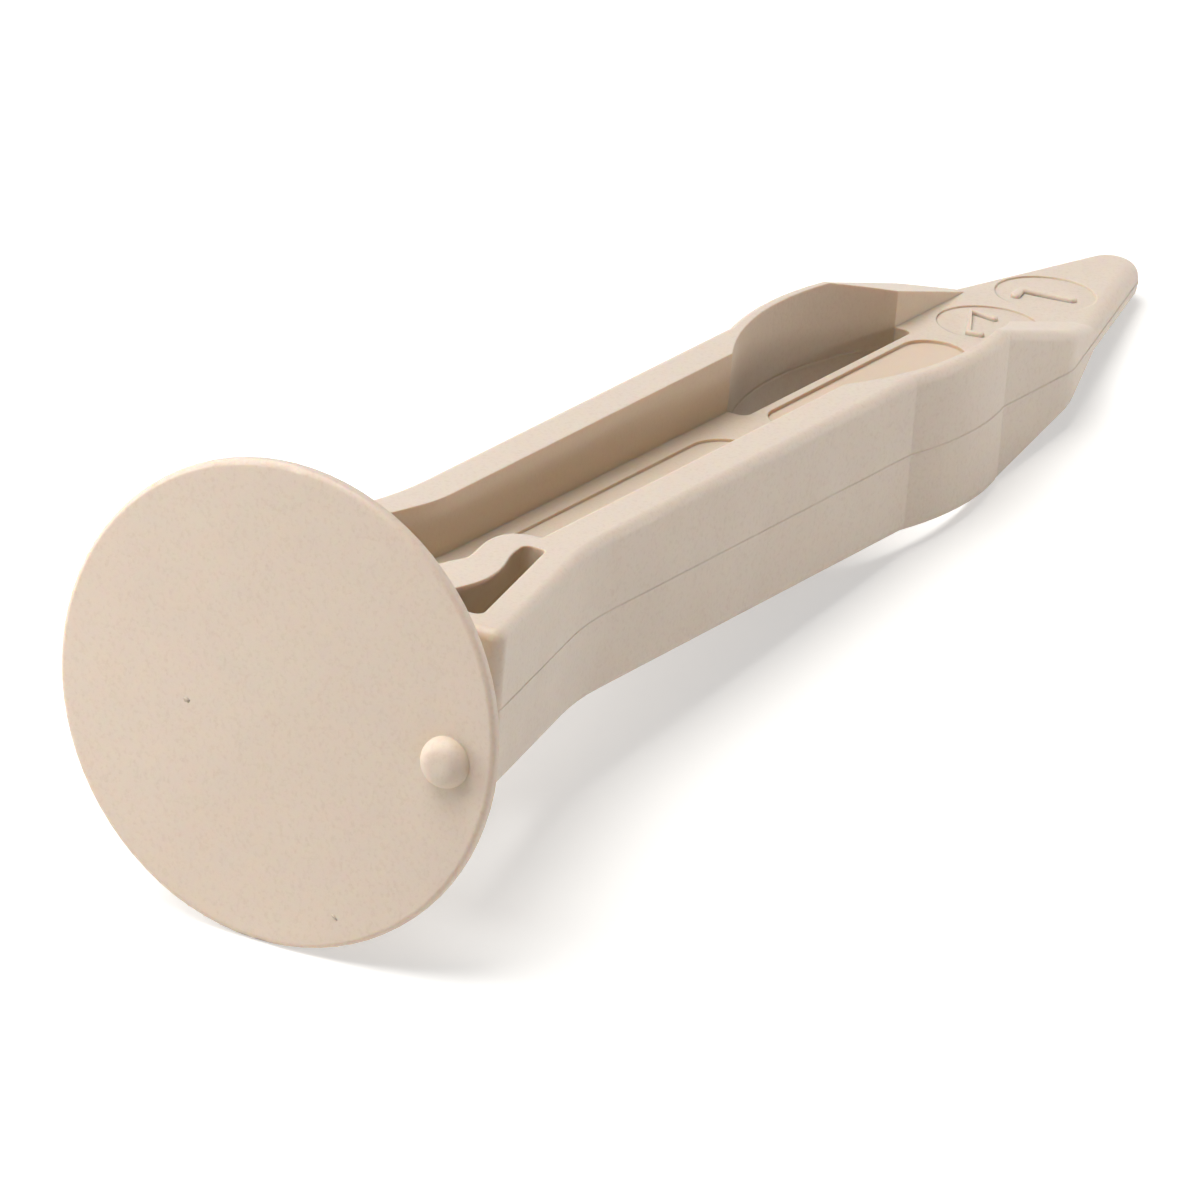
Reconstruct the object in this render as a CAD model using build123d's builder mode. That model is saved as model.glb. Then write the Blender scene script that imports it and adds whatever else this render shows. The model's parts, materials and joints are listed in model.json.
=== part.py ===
from build123d import *
import os
from math import asin, atan2, degrees, hypot, radians, tan

# All sizes are in millimetres. The clip is drawn along X, from the outer face
# of its head at x = 0 to the tip of its nose, across Y, and up Z from the
# parting plane of its mould at z = 0. It is then laid down as it comes to rest.

# Head, the thin round cap that shows once the clip is pushed home
head_diameter = 18.0
head_thickness = 0.4
head_front_round = 0.2
head_back_round = 0.06
gate_pip_diameter = 1.9
gate_pip_height = 0.65
gate_pip_round = 0.6
gate_pip_across = 7.1
gate_pip_below = 0.25

# Shank, an H section: two walls joined by a web on the parting plane
shank_width = 8.2
shank_height = 6.16
shank_edge_round = 0.4
wall_thickness = 1.7
web_thickness = 1.54
straight_length = 23.9

# Neck between the head and the wings, the same H section but narrower
neck_width = 4.4
neck_channel = 2.0
neck_length = 4.2
far_rib_length = 9.3

# Wings, which flare out towards the head and are closed by an end wall
wing_length = 10.2
wing_spread = 2.3
wing_thickness = 1.3
wing_corner_round = 0.5
wing_root_round = 15.0
wing_hollow_round = 7.5
end_wall_thickness = 1.1
near_slot_length = 7.4
far_slot_length = 6.0
slot_corner_round = 0.35

# S-shaped rib that carries the near wing: its sway is how far each bend of
# its two faces stands off the straight neck, and its run where along X it is
rib_belly_run = 3.5
rib_belly_sway = 0.83
rib_waist_run = 5.2
rib_waist_sway = 0.55
rib_throat_sway = 0.1
rib_valley_run = 4.7
rib_valley_sway = 0.4
rib_crest_run = 7.15
rib_crest_sway = 0.07
rib_root_run = 8.4

# Bows, the thin walls beside the windows that spring in on entry
bow_length = 7.1
bow_rise = 0.44
bow_peak_share = 0.52
window_length = 12.7
window_lead = 2.55
window_chord = 1.6
window_hollow = 1.57
window_corner_round = 0.4

# Recesses in the web
long_recess_length = 18.5
long_recess_width = 3.2
long_recess_depth = 0.12
long_recess_gap = 2.3
pocket_length = 12.45
pocket_width = 2.5
pocket_depth = 0.14

# Nose, where the walls run out and the web goes on as a pointed plate
shoulder_length = 5.4
shoulder_round = 3.0
ramp_lead = 0.2
ramp_length = 8.6
nose_half_angle = 16.0
nose_round = 1.12
nose_edge_round = 0.6

# Round marks that the mould's insert pins leave on both faces of the nose
insert_diameter = 3.9
insert_depth = 0.07
insert_gap = 0.95
insert_pitch = 4.55

# Parting line left by the mould, a fine ridge round the outside
ridge_height = 0.02
ridge_width = 0.09

# Stations along the shank, worked out from the sizes above
head_radius = head_diameter / 2
half_width = shank_width / 2
half_height = shank_height / 2
half_web = web_thickness / 2
half_neck = neck_width / 2
half_neck_channel = neck_channel / 2
half_channel = half_width - wall_thickness
wing_start = head_thickness + neck_length
wing_root = wing_start + wing_length
bow_start = wing_root + straight_length
bow_end = bow_start + bow_length
bow_peak = bow_start + bow_length * bow_peak_share
window_start = bow_start - window_lead
window_end = window_start + window_length
ramp_start = bow_end - ramp_lead
ramp_end = ramp_start + ramp_length
taper_start = bow_end + shoulder_length
first_insert = window_end + insert_gap + insert_diameter / 2
nose_point = taper_start + half_width / tan(radians(nose_half_angle))
slot_start = wing_start + end_wall_thickness
near_slot_end = slot_start + near_slot_length
far_slot_end = slot_start + far_slot_length
wing_slope = wing_spread / wing_length
reach = nose_point

# How near a corner or an edge must be to a place to be taken as there
tolerance = 0.01


def wing_outside(x):
    """Half width over the wings at a station between the end wall and the root."""
    return half_width + (wing_root - x) * wing_slope


def wing_inside(x):
    """Half width between the wings at the same station."""
    return wing_outside(x) - wing_thickness


def is_side_rim(edge):
    """Whether an edge runs along a side of the shank, not up it or straight across it."""
    return abs(edge.tangent_at(0.5).Z) < 0.5 and abs(edge.center().Y) > tolerance


# Outline seen from above, one half mirrored about the centre line
with BuildSketch(Plane.XY) as outline:
    with BuildLine():
        neck_side = Polyline(
            (head_thickness / 2, 0),
            (head_thickness / 2, half_neck),
            (wing_start, half_neck),
            (wing_start, wing_outside(wing_start)),
            (wing_root, half_width),
            (bow_start, half_width),
        )
        crown = (bow_peak, half_width + bow_rise)
        TangentArc([crown, neck_side @ 1], tangent=(-1, 0))
        TangentArc([crown, (bow_end, half_width)], tangent=(1, 0))
        Polyline((bow_end, half_width), (taper_start, half_width), (nose_point, 0))
        mirror(about=Plane.XZ)
    make_face()
    fillet(outline.vertices().sort_by(Axis.X)[-1], nose_round)
    fillet(outline.vertices().filter_by(lambda v: abs(v.X - taper_start) < tolerance), shoulder_round)
    fillet(outline.vertices().filter_by(lambda v: abs(v.X - wing_root) < tolerance), wing_root_round)
    wing_corners = outline.vertices().filter_by(lambda v: abs(v.X - wing_start) < tolerance)
    fillet(wing_corners.filter_by(lambda v: abs(v.Y) > half_neck + tolerance), wing_corner_round)

# Side view: full height up to the ramps, web thickness beyond them
with BuildSketch(Plane.XZ) as side_view:
    with BuildLine():
        Polyline(
            (0, 0),
            (0, half_height),
            (ramp_start, half_height),
            (ramp_end, half_web),
            (reach, half_web),
            (reach, 0),
        )
        mirror(about=Plane.XZ)
    make_face()

# Open space between the walls, down to the web on both faces. Beside the
# near wing it follows the S-shaped rib, and the far rib ends in a round.
far_rib_end = head_thickness + far_rib_length
rib_root = (slot_start + rib_root_run, -half_channel)
rib_start = (slot_start + rib_belly_run, -half_neck_channel)
with BuildSketch(Plane.XY) as channel:
    with BuildLine():
        Polyline((wing_root, half_channel), (reach, half_channel), (reach, -half_channel), rib_root)
        Spline(
            rib_root,
            (slot_start + rib_crest_run, -half_neck_channel - rib_crest_sway),
            (slot_start + rib_valley_run, -half_neck_channel - rib_valley_sway),
            rib_start,
            tangents=[(0, 1), (-1, 0.2)],
        )
        Polyline(
            rib_start,
            (head_thickness, -half_neck_channel),
            (head_thickness, half_neck_channel),
            (far_rib_end, half_neck_channel),
        )
        TangentArc([(far_rib_end, half_neck_channel), (far_rib_end, half_neck)], tangent=(1, 0))
        Polyline(
            (far_rib_end, half_neck),
            (slot_start, half_neck),
            (slot_start, wing_inside(slot_start)),
            (wing_root, half_channel),
        )
    make_face()
    fillet(channel.vertices().filter_by(lambda v: abs(v.X - wing_root) < tolerance), wing_hollow_round)

# Slot right through behind the near wing, beside the belly of the rib
throat = (near_slot_end, -half_neck - rib_throat_sway)
with BuildSketch(Plane.XY) as near_slot:
    with BuildLine():
        Polyline(
            throat,
            (near_slot_end, -wing_inside(near_slot_end)),
            (slot_start, -wing_inside(slot_start)),
            (slot_start, -half_neck),
        )
        Spline(
            (slot_start, -half_neck),
            (slot_start + rib_belly_run, -half_neck - rib_belly_sway),
            (slot_start + rib_waist_run, -half_neck - rib_waist_sway),
            throat,
            tangents=[(1, -0.2), (1, 0)],
        )
    make_face()
    fillet(near_slot.vertices(), slot_corner_round)

# Slot right through behind the far wing, tapering with the hollow above it
far_slot_side = half_channel + (wing_inside(slot_start) - half_channel) * (
    (wing_root - far_slot_end) / (wing_root - slot_start)
)
with BuildSketch(Plane.XY) as far_slot:
    with BuildLine():
        Polyline(
            (slot_start, half_neck),
            (far_slot_end, half_neck),
            (far_slot_end, far_slot_side),
            (slot_start, wing_inside(slot_start)),
            close=True,
        )
    make_face()

# Window through the web beside each bow
with BuildSketch(Plane.XY) as window:
    with BuildLine():
        ThreePointArc(
            (window_start, half_channel),
            ((window_start + window_end) / 2, half_channel + window_hollow),
            (window_end, half_channel),
        )
        Polyline(
            (window_end, half_channel),
            (window_end, window_chord),
            (window_start, window_chord),
            (window_start, half_channel),
        )
    make_face()
    fillet(window.vertices().group_by(Axis.Y)[0], window_corner_round)

# Parting line left by the mould, a fine ridge all round the outline and the
# same ridge round the inside of each window
with BuildSketch(Plane.XY) as parting_ridge:
    add(outline.sketch)
    offset(amount=ridge_height, kind=Kind.INTERSECTION)
with BuildSketch(Plane.XY) as window_ridge:
    add(window.sketch)
    offset(amount=-ridge_height, kind=Kind.INTERSECTION, mode=Mode.SUBTRACT)
    mirror(about=Plane.XZ)

with BuildPart() as moulding:
    # Solid bar of the outline, cut to the side view, with its rims rounded
    extrude(outline.sketch, amount=half_height, both=True)
    extrude(side_view.sketch, amount=half_width + wing_spread, both=True, mode=Mode.INTERSECT)
    nose_rims = moulding.edges().filter_by(is_side_rim)
    fillet(nose_rims.filter_by(lambda e: e.center().X > ramp_end), nose_edge_round)
    shank_rims = moulding.edges().filter_by(is_side_rim)
    fillet(shank_rims.filter_by(lambda e: e.center().X < ramp_end - tolerance), shank_edge_round)
    extrude(parting_ridge.sketch, amount=ridge_width / 2, both=True)

    # Openings right through: a window on each side and the two slots
    with BuildSketch(Plane.XY):
        add(window.sketch)
        mirror(about=Plane.XZ)
        add(near_slot.sketch)
        add(far_slot.sketch)
    extrude(amount=half_height, both=True, mode=Mode.SUBTRACT)
    extrude(window_ridge.sketch, amount=ridge_width / 2, both=True)

    # The same hollows on the upper and the lower face, either side of the web
    for face in (1, -1):
        with BuildSketch(Plane.XY.offset(face * half_web)):
            add(channel.sketch)
        extrude(amount=face * half_height, mode=Mode.SUBTRACT)
        with BuildSketch(Plane.XY.offset(face * (half_web - long_recess_depth))):
            with Locations((window_start - long_recess_gap - long_recess_length / 2, 0)):
                SlotOverall(long_recess_length, long_recess_width)
        extrude(amount=face * half_height, mode=Mode.SUBTRACT)
        with BuildSketch(Plane.XY.offset(face * (half_web - pocket_depth))):
            with Locations(((window_start + window_end) / 2, 0)):
                SlotOverall(pocket_length, pocket_width)
        extrude(amount=face * half_height, mode=Mode.SUBTRACT)
        with BuildSketch(Plane.XY.offset(face * (half_web - insert_depth))):
            with Locations((first_insert, 0), (first_insert + insert_pitch, 0)):
                Circle(insert_diameter / 2)
        extrude(amount=face * half_height, mode=Mode.SUBTRACT)

    # Head, turned about the axis of the shank
    with BuildSketch(Plane.XY) as head_profile:
        with Locations((head_thickness / 2, head_radius / 2)):
            Rectangle(head_thickness, head_radius)
        rim_corners = head_profile.vertices().group_by(Axis.Y)[-1].sort_by(Axis.X)
        fillet(rim_corners[0], head_front_round)
        fillet(rim_corners[-1], head_back_round)
    revolve(axis=Axis.X)

    # Gate pip, a stub with a well rounded top where the plastic entered the mould
    pip_centre = (0, -gate_pip_across, -gate_pip_below)
    pip_plane = Plane(origin=pip_centre, x_dir=(1, 0, 0), z_dir=(0, 0, 1))
    with BuildSketch(pip_plane) as pip_profile:
        with BuildLine():
            Polyline(
                (-gate_pip_height, 0),
                (-gate_pip_height, gate_pip_diameter / 2),
                (head_thickness / 2, gate_pip_diameter / 2),
                (head_thickness / 2, 0),
                close=True,
            )
        make_face()
        fillet(pip_profile.vertices().group_by(Axis.Y)[-1].sort_by(Axis.X)[0], gate_pip_round)
    revolve(axis=Axis(pip_centre, (1, 0, 0)))

# Rest: the rim of the head and the foot of each wall, where the ramps start,
# are on the ground, so the shank leans down towards its nose
rim_to_foot = ramp_start - (head_thickness - head_back_round)
foot_above_rim = head_radius - head_back_round - half_height
lean = degrees(
    atan2(foot_above_rim, rim_to_foot) + asin(head_back_round / hypot(rim_to_foot, foot_above_rim))
)
leaning = moulding.part.rotate(Axis.Y, lean)
box = leaning.bounding_box()
with BuildPart() as trim_clip:
    add(leaning.moved(Location((-box.center().X, -box.center().Y, -box.min.Z))))
trim_clip.part.label = "trim_clip"

os.makedirs("parts", exist_ok=True)
export_step(trim_clip.part, "parts/trim_clip.step")
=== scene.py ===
import json
import logging
import math
import random
from dataclasses import dataclass, field

import bmesh
import bpy
from mathutils import Matrix, Vector


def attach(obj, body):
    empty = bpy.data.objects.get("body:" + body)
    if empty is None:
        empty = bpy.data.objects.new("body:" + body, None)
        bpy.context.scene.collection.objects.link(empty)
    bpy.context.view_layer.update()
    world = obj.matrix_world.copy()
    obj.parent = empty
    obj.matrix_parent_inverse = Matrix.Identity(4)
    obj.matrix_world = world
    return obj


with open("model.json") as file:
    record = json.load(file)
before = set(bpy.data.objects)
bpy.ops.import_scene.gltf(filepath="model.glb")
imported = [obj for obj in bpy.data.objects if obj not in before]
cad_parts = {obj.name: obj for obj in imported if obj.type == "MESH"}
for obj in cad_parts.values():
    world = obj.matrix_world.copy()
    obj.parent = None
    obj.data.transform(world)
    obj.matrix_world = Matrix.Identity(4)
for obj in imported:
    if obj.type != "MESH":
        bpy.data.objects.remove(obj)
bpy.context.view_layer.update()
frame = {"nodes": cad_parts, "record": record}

# The frame is in metres; sizes below are in millimetres and are turned by this.
MM = 0.001

# Real sizes of the moulding that the fine marks sit on, in millimetres from
# the seat of the head along the shank and up from the parting plane.
HEAD_THICKNESS = 0.4
HALF_WEB = 0.77
INSERT_DEPTH = 0.07
LONG_RECESS_DEPTH = 0.12
POCKET_MIDDLE = 42.1
POCKET_LENGTH = 12.45
POCKET_WIDTH = 2.5
POCKET_DEPTH = 0.14

# Sockets of a mix node that mixes colours: its share, its two colours and its result.
MIX_SHARE = 0
MIX_UNDER = 6
MIX_OVER = 7
MIX_RESULT = 2

log = logging.getLogger("door_trim_clip")


def linear(colour: str) -> tuple[float, float, float, float]:
    """Turn an sRGB hex colour into the linear colour that a shader takes.

    Args:
        colour: Six hex digits after a hash sign.

    Returns:
        Red, green, blue and an alpha of one, all linear.
    """
    digits = colour.lstrip("#")
    channels = []
    for start in (0, 2, 4):
        value = int(digits[start:start + 2], 16) / 255
        channels.append(value / 12.92 if value <= 0.04045 else ((value + 0.055) / 1.055) ** 2.4)
    return (*channels, 1.0)


def add_node(
    tree: bpy.types.NodeTree,
    kind: str,
    settings: dict[str, object] | None = None,
    values: dict[str | int, object] | None = None,
    links: dict[str | int, bpy.types.NodeSocket] | None = None,
) -> bpy.types.Node:
    """Add one shader node with its settings, socket values and incoming links.

    Args:
        tree: The node tree that takes the node.
        kind: Blender's type name of the node.
        settings: Attributes to set on the node.
        values: Values of input sockets that nothing is linked to.
        links: Output sockets to link to the node's inputs.

    Returns:
        The new node.
    """
    node = tree.nodes.new(kind)
    for name, value in (settings or {}).items():
        setattr(node, name, value)
    for name, value in (values or {}).items():
        node.inputs[name].default_value = value
    for name, socket in (links or {}).items():
        tree.links.new(socket, node.inputs[name])
    return node


def new_material(name: str) -> tuple[bpy.types.Material, bpy.types.NodeTree]:
    """Make an empty node material.

    Args:
        name: The finish's name.

    Returns:
        The material and its emptied node tree.
    """
    material = bpy.data.materials.new(name)
    material.use_nodes = True
    material.node_tree.nodes.clear()
    return material, material.node_tree


def ride_on_clip(name: str, mesh: bmesh.types.BMesh, material: bpy.types.Material) -> bpy.types.Object:
    """Turn a finished mesh into a smooth piece that rides on the clip.

    Args:
        name: The piece's name.
        mesh: Its mesh, in metres at rest, which is freed.
        material: Its finish.

    Returns:
        The piece.
    """
    bmesh.ops.recalc_face_normals(mesh, faces=mesh.faces)
    data = bpy.data.meshes.new(name)
    mesh.to_mesh(data)
    mesh.free()
    for polygon in data.polygons:
        polygon.use_smooth = True
    data.materials.append(material)
    piece = bpy.data.objects.new(name, data)
    bpy.context.scene.collection.objects.link(piece)
    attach(piece, "root")
    return piece


def seen_share(tree: bpy.types.NodeTree) -> bpy.types.NodeSocket:
    """One for rays from the camera, off gloss or through glass, and none for the rest.

    Args:
        tree: The node tree of a floor or a world.

    Returns:
        The socket that carries the share.
    """
    path = add_node(tree, "ShaderNodeLightPath")
    gloss = add_node(
        tree,
        "ShaderNodeMath",
        settings={"operation": "MAXIMUM"},
        links={0: path.outputs["Is Camera Ray"], 1: path.outputs["Is Glossy Ray"]},
    )
    every = add_node(
        tree,
        "ShaderNodeMath",
        settings={"operation": "MAXIMUM"},
        links={0: gloss.outputs[0], 1: path.outputs["Is Transmission Ray"]},
    )
    return every.outputs[0]


@dataclass(frozen=True)
class ClipFrame:
    """The clip's own frame: X along the shank from the seat of its head, Z up from its parting plane."""

    origin: Vector
    along: Vector

    @classmethod
    def from_record(cls, record: dict) -> "ClipFrame":
        """Take the frame from the mount on the underside of the head.

        Args:
            record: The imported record, with its mounts in metres.

        Returns:
            The clip's frame as it lies at rest.
        """
        seat = next(mount for mount in record["mounts"] if mount["name"] == "head_seat")
        return cls(Vector(seat["pos_m"]), Vector(seat["axis"]).normalized())

    @property
    def turn(self) -> Matrix:
        """Rotation from the clip's frame to the frame at rest."""
        across = Vector((0.0, 1.0, 0.0))
        return Matrix((self.along, across, self.along.cross(across))).transposed()

    def place(self, x: float, y: float, z: float) -> Vector:
        """Point at rest, in metres, for a point of the clip in millimetres."""
        return self.origin + self.turn @ (Vector((x, y, z)) * MM)


@dataclass(frozen=True)
class MouldedPolyamide:
    """Beige polyamide, injection moulded in a spark-eroded cavity.

    The eroded steel leaves a dull, evenly pitted skin. The plastic lets a
    little light through, so shaded edges glow warm rather than go grey, and
    the pigment clouds slightly where the melt streamed in from the gate. The
    pits of the skin get painted shade, the thin floor of the pocket in the web
    gets a painted warm glow for light coming through it, and the hollows get a
    painted darker, warmer shade.

    Each range below gives the value of a pattern where its tint starts, the
    value where it is full, and the share that it then has.
    """

    name: str = "beige_polyamide_spark_eroded"
    pigment: str = "#DDCDBD"
    pigment_cloud: str = "#D8C7B5"
    pigment_stream: str = "#D7C8B9"
    # Painted shade: the pits of the eroded grain are darkened in colour.
    painted_pit_shade: str = "#CFBCA9"
    # Painted light: a warmer tint on the pocket's thin floor, standing in for light that comes through it.
    painted_pocket_glow: str = "#DAC4AF"
    # Painted shade: a darker, warmer colour laid where the moulding's own ambient occlusion finds hollows.
    painted_hollow_shade: str = "#CFB999"
    painted_shade_reach_mm: float = 8.0
    painted_shade_range: tuple[float, float, float] = (0.9, 0.3, 0.6)
    painted_shade_samples: int = 6
    ior: float = 1.53
    roughness_low: float = 0.5
    roughness_high: float = 0.64
    sheen_mm: float = 1.75
    sheen_range: tuple[float, float] = (0.3, 0.7)
    glow_weight: float = 0.75
    glow_depth_mm: float = 0.3
    glow_reach: tuple[float, float, float] = (1.0, 0.45, 0.18)
    edge_radius_mm: float = 0.1
    edge_samples: int = 6
    cloud_mm: float = 7.0
    stream_length_mm: float = 14.0
    stream_width_mm: float = 1.3
    stream_range: tuple[float, float, float] = (0.35, 0.75, 0.5)
    # The pits of the eroded skin are about 0.03 mm across, which is finer than
    # a pixel, so they are drawn 0.16 mm across.
    grain_mm: float = 0.16
    grain_depth_mm: float = 0.009
    # Range of the painted shade in the pits.
    painted_pit_shade_range: tuple[float, float, float] = (0.5, 0.25, 0.6)
    # Slow ripples that the cooling skin keeps, like a faint orange peel
    ripple_mm: float = 0.6
    ripple_depth_mm: float = 0.012

    def build(self, clip: ClipFrame) -> bpy.types.Material:
        """Build the finish for the whole moulding.

        Args:
            clip: The clip's frame, which every pattern is laid out in.

        Returns:
            The node material.
        """
        material, tree = new_material(self.name)
        place = self._clip_coordinates(tree, clip)
        grain = self._noise(tree, place, self.grain_mm, detail=2.0, roughness=0.6)
        sheen = self._noise(tree, place, self.sheen_mm, detail=2.0, roughness=0.6)
        dullness = add_node(
            tree,
            "ShaderNodeMapRange",
            values={
                "From Min": self.sheen_range[0],
                "From Max": self.sheen_range[1],
                "To Min": self.roughness_low,
                "To Max": self.roughness_high,
            },
            links={"Value": sheen.outputs["Fac"]},
        )
        shader = add_node(
            tree,
            "ShaderNodeBsdfPrincipled",
            values={
                "IOR": self.ior,
                "Subsurface Weight": self.glow_weight,
                "Subsurface Radius": self.glow_reach,
                "Subsurface Scale": self.glow_depth_mm * MM,
            },
            links={
                "Base Color": self._colour(tree, place, grain),
                "Roughness": dullness.outputs["Result"],
                "Normal": self._relief(tree, place, grain),
            },
        )
        add_node(tree, "ShaderNodeOutputMaterial", links={"Surface": shader.outputs["BSDF"]})
        return material

    def _clip_coordinates(self, tree: bpy.types.NodeTree, clip: ClipFrame) -> bpy.types.NodeSocket:
        """Coordinates of the clip's own frame, in millimetres, from the object's.

        Args:
            tree: The material's node tree.
            clip: The clip's frame.

        Returns:
            The socket that carries the coordinates.
        """
        back = clip.turn.transposed()
        away = -(back @ clip.origin) / MM
        source = add_node(tree, "ShaderNodeTexCoord")
        mapping = add_node(
            tree,
            "ShaderNodeMapping",
            values={"Location": away, "Rotation": back.to_euler(), "Scale": (1 / MM, 1 / MM, 1 / MM)},
            links={"Vector": source.outputs["Object"]},
        )
        return mapping.outputs["Vector"]

    def _noise(
        self,
        tree: bpy.types.NodeTree,
        place: bpy.types.NodeSocket,
        size: float,
        detail: float,
        roughness: float,
    ) -> bpy.types.Node:
        """Noise whose cells are a given size in millimetres.

        Args:
            tree: The material's node tree.
            place: Coordinates in millimetres.
            size: Width of a cell, in millimetres.
            detail: How many finer layers it has.
            roughness: How strong the finer layers are.

        Returns:
            The noise node.
        """
        return add_node(
            tree,
            "ShaderNodeTexNoise",
            values={"Scale": 1 / size, "Detail": detail, "Roughness": roughness},
            links={"Vector": place},
        )

    def _relief(
        self, tree: bpy.types.NodeTree, place: bpy.types.NodeSocket, grain: bpy.types.Node
    ) -> bpy.types.NodeSocket:
        """Normal of the skin, with softened edges, slow ripples and the eroded grain.

        Args:
            tree: The material's node tree.
            place: Coordinates in millimetres.
            grain: The noise of the eroded pits.

        Returns:
            The socket that carries the normal.
        """
        soft_edge = add_node(
            tree,
            "ShaderNodeBevel",
            settings={"samples": self.edge_samples},
            values={"Radius": self.edge_radius_mm * MM},
        )
        ripple = self._noise(tree, place, self.ripple_mm, detail=1.0, roughness=0.5)
        rippled = add_node(
            tree,
            "ShaderNodeBump",
            values={"Strength": 1.0, "Distance": self.ripple_depth_mm * MM},
            links={"Height": ripple.outputs["Fac"], "Normal": soft_edge.outputs["Normal"]},
        )
        pitted = add_node(
            tree,
            "ShaderNodeBump",
            values={"Strength": 1.0, "Distance": self.grain_depth_mm * MM},
            links={"Height": grain.outputs["Fac"], "Normal": rippled.outputs["Normal"]},
        )
        return pitted.outputs["Normal"]

    def _mix(
        self,
        tree: bpy.types.NodeTree,
        share: bpy.types.NodeSocket,
        under: bpy.types.NodeSocket | str,
        over: str,
    ) -> bpy.types.NodeSocket:
        """Lay one colour over another by a share.

        Args:
            tree: The material's node tree.
            share: How much of the upper colour shows.
            under: The lower colour, as a socket or a hex colour.
            over: The upper colour, as a hex colour.

        Returns:
            The socket that carries the mixed colour.
        """
        values: dict[str | int, object] = {MIX_OVER: linear(over)}
        links: dict[str | int, bpy.types.NodeSocket] = {MIX_SHARE: share}
        if isinstance(under, str):
            values[MIX_UNDER] = linear(under)
        else:
            links[MIX_UNDER] = under
        mixed = add_node(tree, "ShaderNodeMix", settings={"data_type": "RGBA"}, values=values, links=links)
        return mixed.outputs[MIX_RESULT]

    def _share(
        self,
        tree: bpy.types.NodeTree,
        value: bpy.types.NodeSocket,
        tint_range: tuple[float, float, float],
    ) -> bpy.types.NodeSocket:
        """Share that rises from none to its most as a value goes through a tint's range.

        Args:
            tree: The material's node tree.
            value: The value that it follows.
            tint_range: The value that gives none, the value that gives the most, and the most.

        Returns:
            The socket that carries the share.
        """
        none_at, full_at, most = tint_range
        ramp = add_node(
            tree,
            "ShaderNodeMapRange",
            values={"From Min": none_at, "From Max": full_at, "To Min": 0.0, "To Max": most},
            links={"Value": value},
        )
        return ramp.outputs["Result"]

    def _colour(
        self, tree: bpy.types.NodeTree, place: bpy.types.NodeSocket, grain: bpy.types.Node
    ) -> bpy.types.NodeSocket:
        """Colour of the plastic: clouded and faintly streaked along the flow, with painted shade in its
        pits and hollows and a painted warm glow on the pocket floor.

        Args:
            tree: The material's node tree.
            place: Coordinates in millimetres.
            grain: The noise of the eroded pits.

        Returns:
            The socket that carries the colour.
        """
        cloud = self._noise(tree, place, self.cloud_mm, detail=3.0, roughness=0.55)
        colour = self._mix(tree, cloud.outputs["Fac"], self.pigment, self.pigment_cloud)
        stretch = add_node(
            tree,
            "ShaderNodeMapping",
            values={
                "Scale": (1 / self.stream_length_mm, 1 / self.stream_width_mm, 1 / self.stream_width_mm)
            },
            links={"Vector": place},
        )
        stream = self._noise(tree, stretch.outputs["Vector"], 1.0, detail=2.0, roughness=0.5)
        streaked = self._share(tree, stream.outputs["Fac"], self.stream_range)
        colour = self._mix(tree, streaked, colour, self.pigment_stream)
        # Painted shade in the pits of the grain.
        pitted = self._share(tree, grain.outputs["Fac"], self.painted_pit_shade_range)
        colour = self._mix(tree, pitted, colour, self.painted_pit_shade)
        # Painted light: the warm tint on the pocket floor.
        colour = self._mix(tree, self._painted_pocket_glow_mask(tree, place), colour, self.painted_pocket_glow)
        # Painted shade in the hollows, laid over all the rest.
        return self._mix(tree, self._painted_hollow_shade_share(tree), colour, self.painted_hollow_shade)

    def _painted_hollow_shade_share(self, tree: bpy.types.NodeTree) -> bpy.types.NodeSocket:
        """Share of painted shade, from ambient occlusion, that grows where the moulding closes itself in,
        as in its windows and slots.

        Args:
            tree: The material's node tree.

        Returns:
            The socket that carries the share.
        """
        openness = add_node(
            tree,
            "ShaderNodeAmbientOcclusion",
            settings={"samples": self.painted_shade_samples, "only_local": True},
            values={"Distance": self.painted_shade_reach_mm * MM},
        )
        return self._share(tree, openness.outputs["AO"], self.painted_shade_range)

    def _painted_pocket_glow_mask(self, tree: bpy.types.NodeTree, place: bpy.types.NodeSocket) -> bpy.types.NodeSocket:
        """Mask for the painted warm glow: one on the thin floor of the pocket in the web, and none
        elsewhere.

        Args:
            tree: The material's node tree.
            place: Coordinates in millimetres.

        Returns:
            The socket that carries the share.
        """
        axes = add_node(tree, "ShaderNodeSeparateXYZ", links={"Vector": place})
        inside = None
        for axis, middle, reach in (
            ("X", POCKET_MIDDLE, POCKET_LENGTH / 2),
            ("Y", 0.0, POCKET_WIDTH / 2),
            ("Z", 0.0, HALF_WEB - POCKET_DEPTH / 2),
        ):
            near = add_node(
                tree,
                "ShaderNodeMath",
                settings={"operation": "COMPARE"},
                values={1: middle, 2: reach},
                links={0: axes.outputs[axis]},
            )
            if inside is None:
                inside = near.outputs[0]
            else:
                both = add_node(
                    tree,
                    "ShaderNodeMath",
                    settings={"operation": "MULTIPLY"},
                    links={0: inside, 1: near.outputs[0]},
                )
                inside = both.outputs[0]
        return inside


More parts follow.
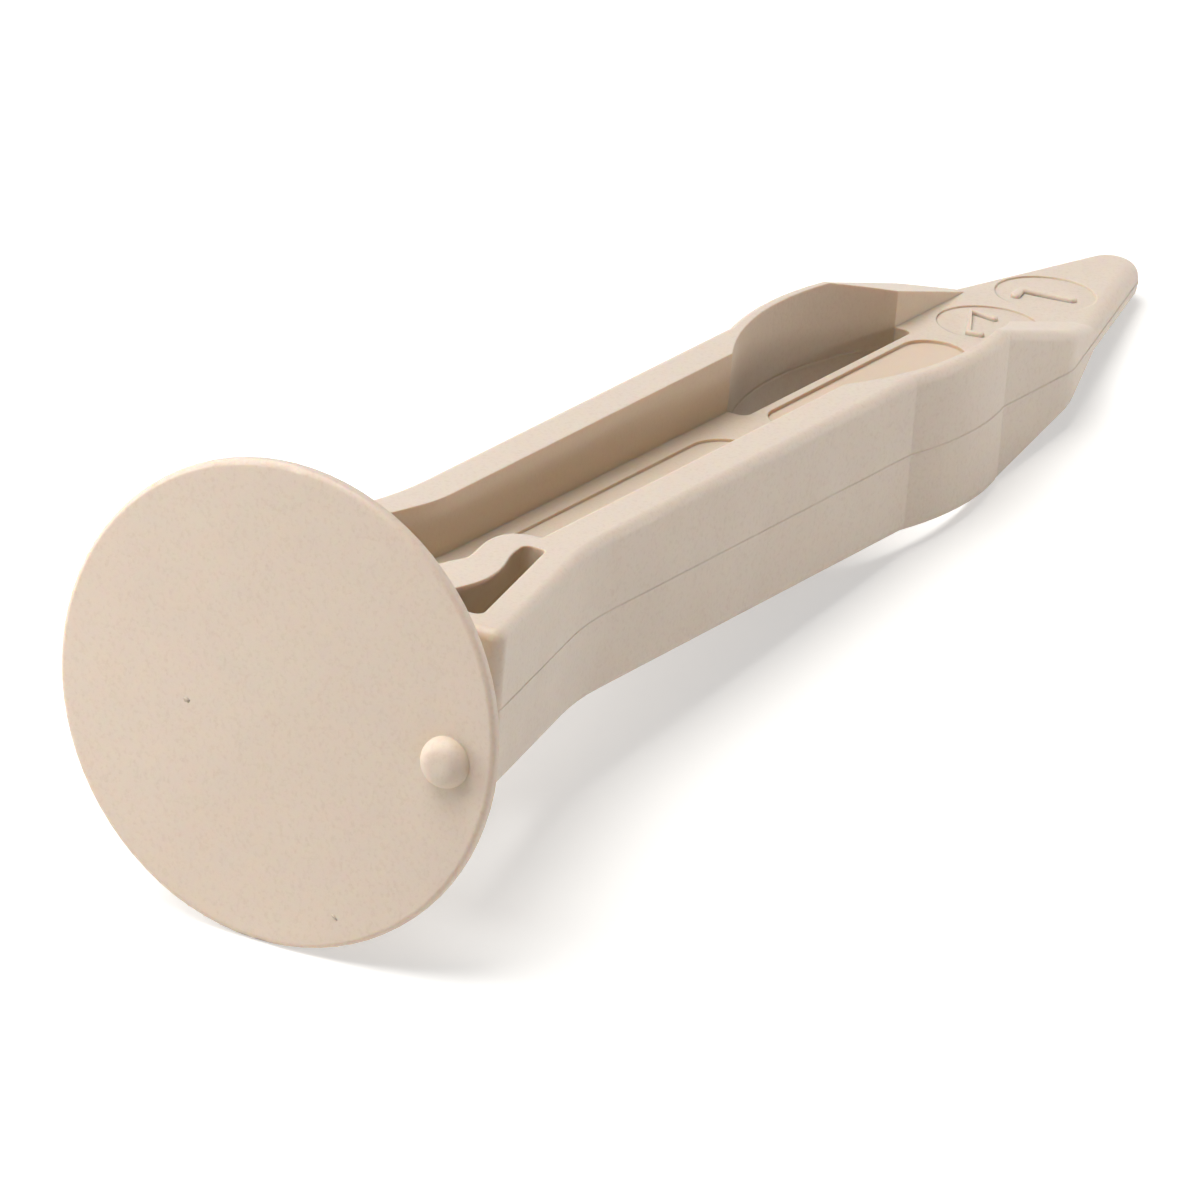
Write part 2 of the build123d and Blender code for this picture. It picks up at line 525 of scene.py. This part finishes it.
@dataclass(frozen=True)
class ScorchedSpeck:
    """Pigment that scorched in the barrel, which shows as matt flecks a little browner than the plastic."""

    name: str = "scorched_pigment_fleck"
    colour: str = "#B9A794"
    paler: str = "#CDBDAB"
    roughness: float = 0.6
    ior: float = 1.53
    mottle_mm: float = 0.12

    def build(self) -> bpy.types.Material:
        """Build the finish of the specks.

        Returns:
            The node material.
        """
        material, tree = new_material(self.name)
        source = add_node(tree, "ShaderNodeTexCoord")
        mottle = add_node(
            tree,
            "ShaderNodeTexNoise",
            values={"Scale": 1 / (self.mottle_mm * MM), "Detail": 2.0},
            links={"Vector": source.outputs["Object"]},
        )
        colour = add_node(
            tree,
            "ShaderNodeMix",
            settings={"data_type": "RGBA"},
            values={MIX_UNDER: linear(self.colour), MIX_OVER: linear(self.paler)},
            links={MIX_SHARE: mottle.outputs["Fac"]},
        )
        shader = add_node(
            tree,
            "ShaderNodeBsdfPrincipled",
            values={"Roughness": self.roughness, "IOR": self.ior},
            links={"Base Color": colour.outputs[MIX_RESULT]},
        )
        add_node(tree, "ShaderNodeOutputMaterial", links={"Surface": shader.outputs["BSDF"]})
        return material


@dataclass
class Moulding:
    """The one-piece moulding, whose shape comes from the frame and only gets its finish here."""

    clip: ClipFrame
    node: str = "trim_clip"
    finish: MouldedPolyamide = field(default_factory=MouldedPolyamide)

    def dress(self) -> bpy.types.Material:
        """Put the moulded finish on the clip.

        Returns:
            The material, for the fine marks of the same plastic.
        """
        body = frame["nodes"][self.node]
        material = self.finish.build(self.clip)
        body.data.materials.clear()
        body.data.materials.append(material)
        log.info("%s: dressed as %s", self.node, material.name)
        return material


@dataclass
class RaisedNumeral:
    """A cavity number on a mould insert, raised from the floor of its round mark."""

    name: str
    strokes: list[list[tuple[float, float]]]
    stroke_width: float = 0.3
    height: float = 0.18
    floor: float = HALF_WEB - INSERT_DEPTH
    sink: float = 0.03
    steps_round_end: int = 5
    least_share: float = 0.02
    shoulder: tuple[tuple[float, float], ...] = ((1.0, 0.0), (0.94, 0.6), (0.76, 0.92), (0.45, 1.0))

    def build(self, clip: ClipFrame, material: bpy.types.Material) -> bpy.types.Object:
        """Model the numeral's strokes as ridges with rounded tops and ends.

        Args:
            clip: The clip's frame.
            material: The plastic of the moulding.

        Returns:
            The numeral, riding on the clip.
        """
        mesh = bmesh.new()
        for stroke in self.strokes:
            self._ridge(mesh, clip, [Vector(point) for point in stroke])
        piece = ride_on_clip(self.name, mesh, material)
        log.info("%s: %d strokes", self.name, len(self.strokes))
        return piece

    def _stations(self, line: list[Vector]) -> list[tuple[Vector, Vector, float]]:
        """Stations along one stroke, with its ends drawn in to a round.

        Args:
            line: The stroke's points in the clip's plane.

        Returns:
            Place, side direction and share of the full section at each station.
        """
        half = self.stroke_width / 2
        headings = [(b - a).normalized() for a, b in zip(line, line[1:])]
        stations = []
        quarter = [math.pi / 2 * step / self.steps_round_end for step in range(self.steps_round_end)]
        for angle in quarter:
            start = line[0] - headings[0] * half * math.cos(angle)
            stations.append((start, headings[0], math.sin(angle)))
        for index, point in enumerate(line):
            before = headings[max(index - 1, 0)]
            after = headings[min(index, len(headings) - 1)]
            stations.append((point, (before + after).normalized(), 1.0))
        for angle in reversed(quarter):
            end = line[-1] + headings[-1] * half * math.cos(angle)
            stations.append((end, headings[-1], math.sin(angle)))
        return [
            (place, Vector((-way.y, way.x)), max(share, self.least_share)) for place, way, share in stations
        ]

    def _ridge(self, mesh: bmesh.types.BMesh, clip: ClipFrame, line: list[Vector]) -> None:
        """Add one closed ridge along a stroke.

        Args:
            mesh: The mesh that takes the ridge.
            clip: The clip's frame.
            line: The stroke's points in the clip's plane.
        """
        half = self.stroke_width / 2
        across = [(share, rise) for share, rise in self.shoulder]
        across += [(-share, rise) for share, rise in reversed(self.shoulder)]
        rings = []
        for place, side, share in self._stations(line):
            section = [(1.0, -self.sink)]
            section += [(out, rise * self.height * math.sqrt(share)) for out, rise in across]
            section += [(-1.0, -self.sink)]
            rings.append([
                mesh.verts.new(clip.place(*(place + side * half * share * out), self.floor + rise))
                for out, rise in section
            ])
        for ring, following in zip(rings, rings[1:]):
            for index in range(len(ring)):
                beside = (index + 1) % len(ring)
                mesh.faces.new((ring[index], ring[beside], following[beside], following[index]))
        mesh.faces.new(rings[0])
        mesh.faces.new(reversed(rings[-1]))


@dataclass
class Speck:
    """A fleck that shows at the surface as a thin, ragged, flattened scale.

    Its centre and sizes are in millimetres in the clip's frame, and its tilt
    is in degrees about the direction that it faces.
    """

    name: str
    centre: tuple[float, float, float]
    facing: tuple[float, float, float]
    length: float
    width: float
    tilt: float
    thickness: float = 0.012
    points: int = 14
    ragged_reach: tuple[float, float] = (0.7, 1.1)
    seed: int = 1

    def build(self, clip: ClipFrame, material: bpy.types.Material) -> bpy.types.Object:
        """Model the fleck as a low dome with an uneven outline.

        Args:
            clip: The clip's frame.
            material: The scorched finish.

        Returns:
            The fleck, riding on the clip.
        """
        chance = random.Random(self.seed)
        normal = Vector(self.facing).normalized()
        first = normal.orthogonal().normalized()
        first.rotate(Matrix.Rotation(math.radians(self.tilt), 3, normal))
        second = normal.cross(first)
        centre = Vector(self.centre)
        mesh = bmesh.new()
        crown = mesh.verts.new(clip.place(*(centre + normal * self.thickness)))
        heel = mesh.verts.new(clip.place(*(centre - normal * self.thickness)))
        rim = []
        for index in range(self.points):
            angle = 2 * math.pi * index / self.points
            reach = chance.uniform(*self.ragged_reach) / 2
            along = first * math.cos(angle) * self.length * reach
            aside = second * math.sin(angle) * self.width * reach
            out = along + aside
            rim.append(mesh.verts.new(clip.place(*(centre + out))))
        for index, vertex in enumerate(rim):
            following = rim[(index + 1) % len(rim)]
            mesh.faces.new((vertex, following, crown))
            mesh.faces.new((following, vertex, heel))
        piece = ride_on_clip(self.name, mesh, material)
        log.info("%s: %.2f mm long", self.name, self.length)
        return piece


@dataclass(frozen=True)
class BackdropPaper:
    """White matt paper, lifted a little for the camera so that it reads as white."""

    name: str = "white_matt_backdrop_paper"
    colour: str = "#DEDCD8"
    camera_lift: float = 0.5

    def build(self) -> bpy.types.Material:
        """Build the finish of the floor.

        Returns:
            The node material.
        """
        material, tree = new_material(self.name)
        seen = seen_share(tree)
        paper = add_node(tree, "ShaderNodeBsdfDiffuse", values={"Color": linear(self.colour)})
        lift = add_node(tree, "ShaderNodeEmission", values={"Strength": self.camera_lift})
        nothing = add_node(tree, "ShaderNodeEmission", values={"Strength": 0.0})
        shown = add_node(
            tree, "ShaderNodeMixShader", links={0: seen, 1: nothing.outputs[0], 2: lift.outputs[0]}
        )
        both = add_node(tree, "ShaderNodeAddShader", links={0: paper.outputs[0], 1: shown.outputs[0]})
        add_node(tree, "ShaderNodeOutputMaterial", links={"Surface": both.outputs[0]})
        return material


@dataclass
class Floor:
    """A plain white ground that bounces light up at the clip and keeps its shadow.

    Half its side is given in metres.
    """

    name: str = "floor"
    half_side: float = 3.0
    drop_mm: float = 0.01
    finish: BackdropPaper = BackdropPaper()

    def build(self) -> bpy.types.Object:
        """Lay the floor.

        Returns:
            The floor, which is part of the stage.
        """
        side = self.half_side
        corners = [(-side, -side), (side, -side), (side, side), (-side, side)]
        data = bpy.data.meshes.new(self.name)
        data.from_pydata([(x, y, -self.drop_mm * MM) for x, y in corners], [], [(0, 1, 2, 3)])
        data.materials.append(self.finish.build())
        piece = bpy.data.objects.new(self.name, data)
        bpy.context.scene.collection.objects.link(piece)
        log.info("%s: %.1f m square", self.name, 2 * side)
        return piece


def hang_lamp(name: str, lamp: bpy.types.Light, place: Vector, towards: Vector) -> bpy.types.Object:
    """Hang a lamp at a place and turn it to what it lights.

    Args:
        name: The lamp's name.
        lamp: The light that it gives.
        place: Where it hangs, in metres.
        towards: The direction from what it lights to the lamp.

    Returns:
        The lamp in its holder.
    """
    holder = bpy.data.objects.new(name, lamp)
    holder.location = place
    holder.rotation_euler = towards.to_track_quat("Z", "Y").to_euler()
    bpy.context.scene.collection.objects.link(holder)
    return holder


@dataclass(frozen=True)
class FarLamp:
    """A broad lamp a long way off, whose light comes from one direction.

    Its place is given by its azimuth, anticlockwise from +X, and its elevation,
    and its spread is how broad it looks from the clip, all in degrees.
    """

    name: str
    strength: float
    azimuth: float
    elevation: float
    spread: float

    def hang(self) -> bpy.types.Object:
        """Hang the lamp.

        Returns:
            The lamp.
        """
        lamp = bpy.data.lights.new(self.name, "SUN")
        lamp.energy = self.strength
        lamp.angle = math.radians(self.spread)
        around, up = math.radians(self.azimuth), math.radians(self.elevation)
        towards = Vector((math.cos(around) * math.cos(up), math.sin(around) * math.cos(up), math.sin(up)))
        return hang_lamp(self.name, lamp, towards, towards)


@dataclass(frozen=True)
class NearLamp:
    """A soft oblong lamp near the clip, which lights the clip's nearer end more.

    Its place and the point it is turned to are in millimetres from the middle
    of the clip at rest and up from the floor, its width and height are in
    millimetres and its power is in watts.
    """

    name: str
    power: float
    place: tuple[float, float, float]
    target: tuple[float, float, float]
    width: float
    height: float

    def hang(self) -> bpy.types.Object:
        """Hang the lamp.

        Returns:
            The lamp.
        """
        lamp = bpy.data.lights.new(self.name, "AREA")
        lamp.energy = self.power
        lamp.shape = "RECTANGLE"
        lamp.size = self.width * MM
        lamp.size_y = self.height * MM
        place = Vector(self.place) * MM
        holder = hang_lamp(self.name, lamp, place, place - Vector(self.target) * MM)
        holder.visible_camera = False
        return holder


@dataclass
class Studio:
    """Low even light from all round, a key lamp high above, and three weak lamps close by."""

    ambient: float = 0.055
    key: FarLamp = FarLamp("key", strength=3.08, azimuth=125.0, elevation=73.0, spread=46.0)
    fill: NearLamp = NearLamp(
        "fill", power=0.2, place=(202.0, -165.0, 7.0), target=(0.0, 0.0, 7.0), width=120.0, height=12.0
    )
    card: NearLamp = NearLamp(
        "card", power=0.045, place=(-150.0, -210.0, 7.0), target=(0.0, 0.0, 7.0), width=120.0, height=12.0
    )
    face: NearLamp = NearLamp(
        "face", power=0.0262, place=(-55.0, 60.0, 32.0), target=(-30.0, 0.0, 9.0), width=30.0, height=30.0
    )

    def build(self) -> None:
        """Set the world's light and hang the lamps."""
        world = bpy.data.worlds.new("studio")
        world.use_nodes = True
        tree = world.node_tree
        tree.nodes.clear()
        seen = seen_share(tree)
        soft = add_node(tree, "ShaderNodeBackground", values={"Strength": self.ambient})
        white = add_node(tree, "ShaderNodeBackground", values={"Strength": 1.0})
        for light in (soft, white):
            light.inputs["Color"].default_value = (1.0, 1.0, 1.0, 1.0)
        shown = add_node(
            tree, "ShaderNodeMixShader", links={0: seen, 1: soft.outputs[0], 2: white.outputs[0]}
        )
        add_node(tree, "ShaderNodeOutputWorld", links={"Surface": shown.outputs[0]})
        bpy.context.scene.world = world
        for lamp in (self.key, self.fill, self.card, self.face):
            lamp.hang()
            log.info("studio: %s lamp", lamp.name)


@dataclass
class PhotoCamera:
    """A long lens that looks down past the head, along the shank to the nose.

    Its lens, sensor, aim and distance are in millimetres, its angles in
    degrees, and the nearest and farthest that it sees in metres.
    """

    focal_length: float = 529.7
    sensor: float = 36.0
    aim: tuple[float, float, float] = (16.93, -3.22, 0.0)
    distance: float = 638.3
    azimuth: float = -59.79
    elevation: float = 26.82
    roll: float = 1.16
    nearest: float = 0.01
    farthest: float = 20.0

    def build(self, clip: ClipFrame) -> bpy.types.Object:
        """Stand the camera where the photograph was taken from.

        Args:
            clip: The clip's frame, which the point aimed at is given in.

        Returns:
            The camera, which is made the scene's camera.
        """
        data = bpy.data.cameras.new("camera")
        data.lens = self.focal_length
        data.sensor_width = self.sensor
        data.clip_start = self.nearest
        data.clip_end = self.farthest
        holder = bpy.data.objects.new("camera", data)
        around, up = math.radians(self.azimuth), math.radians(self.elevation)
        back = Vector((math.sin(around) * math.cos(up), -math.cos(around) * math.cos(up), math.sin(up)))
        level = back.to_track_quat("Z", "Y").to_matrix()
        tilt = Matrix.Rotation(math.radians(self.roll), 3, "Z")
        place = clip.place(*self.aim) + back * self.distance * MM
        holder.matrix_world = Matrix.Translation(place) @ (level @ tilt).to_4x4()
        bpy.context.scene.collection.objects.link(holder)
        bpy.context.scene.camera = holder
        log.info("camera: %.0f mm lens at %.0f mm", self.focal_length, self.distance)
        return holder


def specks() -> list[Speck]:
    """List the three specks that show: two on the face of the head and one in the long recess.

    Returns:
        The specks, in the order that they are built.
    """
    out_of_head = (-1.0, 0.0, 0.0)
    head_face = -HEAD_THICKNESS
    recess_floor = HALF_WEB - LONG_RECESS_DEPTH
    return [
        Speck("speck_head_upper", (head_face, 3.64, -0.74), out_of_head, 0.36, 0.2, tilt=30.0, seed=3),
        Speck("speck_head_lower", (head_face, -3.12, -7.25), out_of_head, 0.34, 0.12, tilt=8.0, seed=5),
        Speck("speck_web", (27.43, 0.16, recess_floor), (0.0, 0.0, 1.0), 0.22, 0.1, tilt=20.0, seed=8),
    ]


def main() -> None:
    """Dress the clip, add its fine marks, and set the stage, the light and the camera."""
    logging.basicConfig(level=logging.INFO)
    bpy.context.scene.view_settings.view_transform = "Standard"
    clip = ClipFrame.from_record(frame["record"])
    plastic = Moulding(clip).dress()
    one = [(54.9, 0.75), (55.55, 0.85), (55.95, -1.1)]
    seven = [(51.95, 0.05), (52.0, 1.1), (49.85, 0.0), (50.0, -0.45)]
    RaisedNumeral("numeral_one", [one], stroke_width=0.42).build(clip, plastic)
    RaisedNumeral("numeral_seven", [seven]).build(clip, plastic)
    fleck = ScorchedSpeck().build()
    for speck in specks():
        speck.build(clip, fleck)
    Floor().build()
    Studio().build()
    PhotoCamera().build(clip)


if __name__ == "__main__":
    main()
